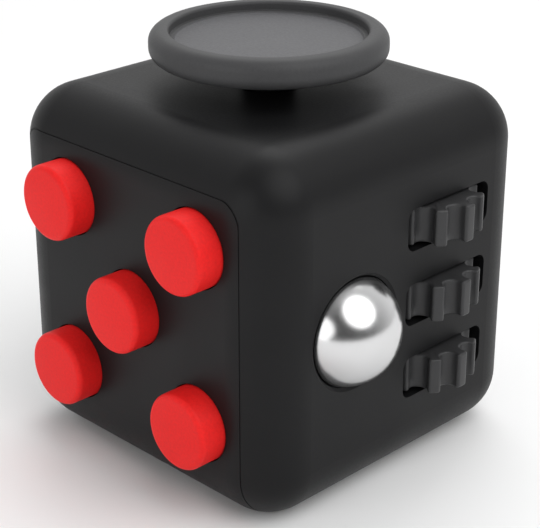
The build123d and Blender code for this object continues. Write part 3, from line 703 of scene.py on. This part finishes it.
def seam_path(depth):
    """Closed path of the seam round the cover, at a depth below the cube's rounded surface."""
    low, high = [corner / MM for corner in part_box("wrap_cover")]
    half = high.y
    straight = half - EDGE_R
    left, right = low.x - SEAM_GAP / 2, high.x + SEAM_GAP / 2
    top = high.z + SEAM_GAP / 2
    skin = EDGE_R - depth

    def surface(x, z):
        """Distance of the front and rear faces from the centre at a place on them."""
        beyond = math.hypot(max(abs(x) - straight, 0.0), max(z - half - straight, 0.0))
        return straight + math.sqrt(skin**2 - beyond**2)

    arch = [(right, EDGE_R)]
    for centre_x, first in ((right - SEAM_CORNER_R, 0), (left + SEAM_CORNER_R, SEAM_CORNER_STEPS)):
        for step in range(first, first + SEAM_CORNER_STEPS + 1):
            turn = QUARTER * step / SEAM_CORNER_STEPS
            x = centre_x + SEAM_CORNER_R * math.cos(turn)
            arch.append((x, top - SEAM_CORNER_R + SEAM_CORNER_R * math.sin(turn)))
        if first == 0:
            start, run = right - SEAM_CORNER_R, left - right + 2 * SEAM_CORNER_R
            arch += [(start + run * share / SEAM_TOP_STEPS, top) for share in range(1, SEAM_TOP_STEPS)]
    arch.append((left, EDGE_R))

    def under(x):
        """Front to rear path below the cover at one side."""
        round_r = math.sqrt(skin**2 - max(abs(x) - straight, 0.0) ** 2)
        turns = [QUARTER * step / SEAM_UNDER_STEPS for step in range(1, SEAM_UNDER_STEPS + 1)]
        front = [(x, -straight - round_r * math.cos(t), EDGE_R - round_r * math.sin(t)) for t in turns]
        return front + [(px, -py, pz) for px, py, pz in reversed(front)]

    front = [(x, -surface(x, z), z) for x, z in arch]
    rear = [(x, surface(x, z), z) for x, z in reversed(arch)]
    return front + under(left) + rear + list(reversed(under(right)))


def seam_bead():
    """Thread of shell plastic in the seam, so that it reads as a hairline."""
    curve = bpy.data.curves.new("seam", "CURVE")
    curve.dimensions = "3D"
    line = curve.splines.new("POLY")
    route = seam_path(SEAM_BEAD_DEPTH)
    line.points.add(len(route) - 1)
    for point, place in zip(line.points, route):
        point.co = (*place, 1.0)
    line.use_cyclic_u = True
    drawn = bpy.data.objects.new("seam", curve)
    bpy.context.scene.collection.objects.link(drawn)
    values = {"Turn": UPRIGHT, "Place": (0.0, 0.0, 0.0), "Finish": SLOT_FINISH["shell_plastic"]}
    built("seam_bead", drawn, BEAD, values, "casing", [], SEAM_BEAD_SHARP)


def screw_outline(length):
    """Pan head, ringed thread and blunt point, from the head's top at zero down to the tip."""
    corners = [(0.0, 0.0, 0.0), (SCREW_HEAD_R, 0.0, SCREW_HEAD_EDGE_R), (SCREW_HEAD_R, -SCREW_HEAD_H, 0.08)]
    root = SCREW_R - THREAD_DEPTH
    corners.append((root, -SCREW_HEAD_H, 0.0))
    turns = int((length - SCREW_HEAD_H - 2 * THREAD_PITCH) / THREAD_PITCH)
    for turn in range(turns):
        start = -SCREW_HEAD_H - THREAD_PITCH * (turn + 0.5)
        corners += [(root, start, 0.0), (SCREW_R, start - THREAD_PITCH / 2, 0.0)]
    corners += [(root, -length + THREAD_PITCH, 0.0), (root / 2, -length, 0.0), (0.0, -length, 0.0)]
    return outline("screw", corners)


def screw_set(node, turn, axis, head_at_high, places):
    """Every screw of one CAD node, from the places of its heads in the node's box."""
    low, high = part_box(node)
    length = (high[axis] - low[axis]) / MM
    reach = SCREW_HEAD_R * MM
    points = []
    for shares in places:
        point = Vector([a + reach + share * (b - a - 2 * reach) for a, b, share in zip(low, high, shares)])
        point[axis] = high[axis] if head_at_high else low[axis]
        points.append(point)
    mesh = bpy.data.meshes.new(node)
    mesh.from_pydata(points, [], [])
    spots = bpy.data.objects.new(node, mesh)
    bpy.context.scene.collection.objects.link(spots)
    drawn = screw_outline(length)
    values = {"Outline": drawn, "Turn": turn, "Finish": SLOT_FINISH["screw_steel"]}
    built(f"{node}_threaded", spots, SCREWS, values, NODE_BODY[node], [node])
    bpy.data.objects.remove(drawn)


CORNERS = [(0, 0, 0), (1, 0, 0), (0, 1, 0), (1, 1, 0)]
UP_AND_DOWN = [(0, 0.5, 0), (0, 0.5, 1)]

seam_bead()
screw_set("click_board_screws", TO_BACK, 1, True, [(1, 0, 0), (1, 0, 1), (0, 0, 0.5)])
screw_set("wheel_bracket_screws", TO_LEFT, 0, False, UP_AND_DOWN)
screw_set("ball_plate_screws", TO_LEFT, 0, False, UP_AND_DOWN)
screw_set("rocker_screws", TO_RIGHT, 0, True, UP_AND_DOWN)
screw_set("stick_screws", DOWNWARD, 2, False, CORNERS)

for name in sorted(NODE_SLOT):
    if name.startswith("button_"):
        push_button(name)
    elif name.startswith("thumb_wheel_"):
        thumb_wheel(name)
steel_ball()
stick_cap()


# ---- springy domes and studs, as merged copies ---------------------------------
def springy(node):
    """A merged copy of a dome or stud, riding on the node's body in place of the CAD node."""
    mesh = frame["nodes"][node].data.copy()
    piece = bpy.data.objects.new(f"{node}_springy", mesh)
    bpy.context.scene.collection.objects.link(piece)
    tidy(mesh, SPRINGY_SHARP)
    slot = NODE_SLOT[node]
    mesh.materials.clear()
    mesh.materials.append(SLOT_FINISH[slot])
    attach(piece, NODE_BODY[node])
    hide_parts(node)
    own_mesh(piece)


for place in ("middle", "upper_right", "lower_left"):
    springy(f"click_dome_{place}")
for place in ("upper_left", "lower_right"):
    springy(f"silent_pad_{place}")
springy("ball_dome")

# ---- CAD nodes shown as they are ----------------------------------------------
for name, node in frame["nodes"].items():
    node.data.materials.clear()
    node.data.materials.append(SLOT_FINISH[NODE_SLOT[name]])


# ---- studio -------------------------------------------------------------------
def softbox(name, place, aim, width, height, radiance):
    """Round or oval diffused lamp of a given brightness, pointed at a spot. Lengths are in metres."""
    lamp = bpy.data.lights.new(name, "AREA")
    lamp.shape = "ELLIPSE"
    lamp.size = width
    lamp.size_y = height
    area = math.pi / 4 * width * height
    lamp.energy = math.pi * radiance * area
    lit = bpy.data.objects.new(name, lamp)
    lit.location = place
    lit.rotation_euler = (Vector(aim) - Vector(place)).to_track_quat("-Z", "Y").to_euler()
    bpy.context.scene.collection.objects.link(lit)


def studio_floor():
    """Wide sheet of white paper under the cube."""
    half, level = FLOOR_HALF, -FLOOR_DROP * MM
    corners = [(x, y, level) for x, y in ((-half, -half), (half, -half), (half, half), (-half, half))]
    mesh = bpy.data.meshes.new("paper")
    mesh.from_pydata(corners, [], [(0, 1, 2, 3)])
    mesh.materials.append(stage_paper())
    sheet = bpy.data.objects.new("paper_floor", mesh)
    bpy.context.scene.collection.objects.link(sheet)


def sky(near, far):
    """Room light that is dim on the near side of the cube and pale behind it."""
    world = bpy.data.worlds.new("room")
    world.use_nodes = True
    tree = world.node_tree
    toward = add(tree, "ShaderNodeTexCoord").outputs["Generated"]
    depth = add(tree, "ShaderNodeVectorMath", {0: toward, 1: (-0.68, 0.68, 0.0)}, operation="DOT_PRODUCT")
    glow = add(tree, "ShaderNodeMapRange", {0: depth.outputs["Value"], 1: -0.7, 2: 0.6, 3: near, 4: far})
    tree.nodes["Background"].inputs[0].default_value = linear("#ffffff")
    tree.links.new(glow.outputs[0], tree.nodes["Background"].inputs[1])
    bpy.context.scene.world = world


def set_camera(azimuth, elevation, distance, lens, target, shift):
    """Long lens looking at the cube from its front right edge."""
    turn, rise = math.radians(azimuth), math.radians(elevation)
    back = Vector((math.sin(turn) * math.cos(rise), -math.cos(turn) * math.cos(rise), math.sin(rise)))
    camera = bpy.data.cameras.new("camera")
    camera.lens = lens
    camera.sensor_width = 36.0
    camera.sensor_fit = "HORIZONTAL"
    camera.shift_x, camera.shift_y = shift
    camera.clip_start = 0.01
    camera.dof.use_dof = False
    held = bpy.data.objects.new("camera", camera)
    held.location = Vector(target) + distance * back
    held.rotation_euler = (-back).to_track_quat("-Z", "Y").to_euler()
    bpy.context.scene.collection.objects.link(held)
    bpy.context.scene.camera = held


studio_floor()
sky(near=0.05, far=0.95)
softbox("key_right", (0.36, 0.0, 0.42), aim=(0, 0, 0.02), width=0.62, height=0.62, radiance=2.4)
softbox("front_left", (0.0, -0.50, 0.16), aim=(0, 0, 0.02), width=0.50, height=0.40, radiance=1.7)
softbox("backdrop_wash", (-0.25, 0.35, 0.60), aim=(-0.1, 0.12, 0), width=0.5, height=0.5, radiance=2.2)
bpy.context.scene.view_settings.view_transform = "Standard"
cube_middle = (0.0, 0.0, cad_box[0][2] + CUBE_EDGE / 2 * MM)
set_camera(
    azimuth=45.14, elevation=23.63, distance=0.14896, lens=108.0,
    target=cube_middle, shift=(0.0020, -0.0194),
)
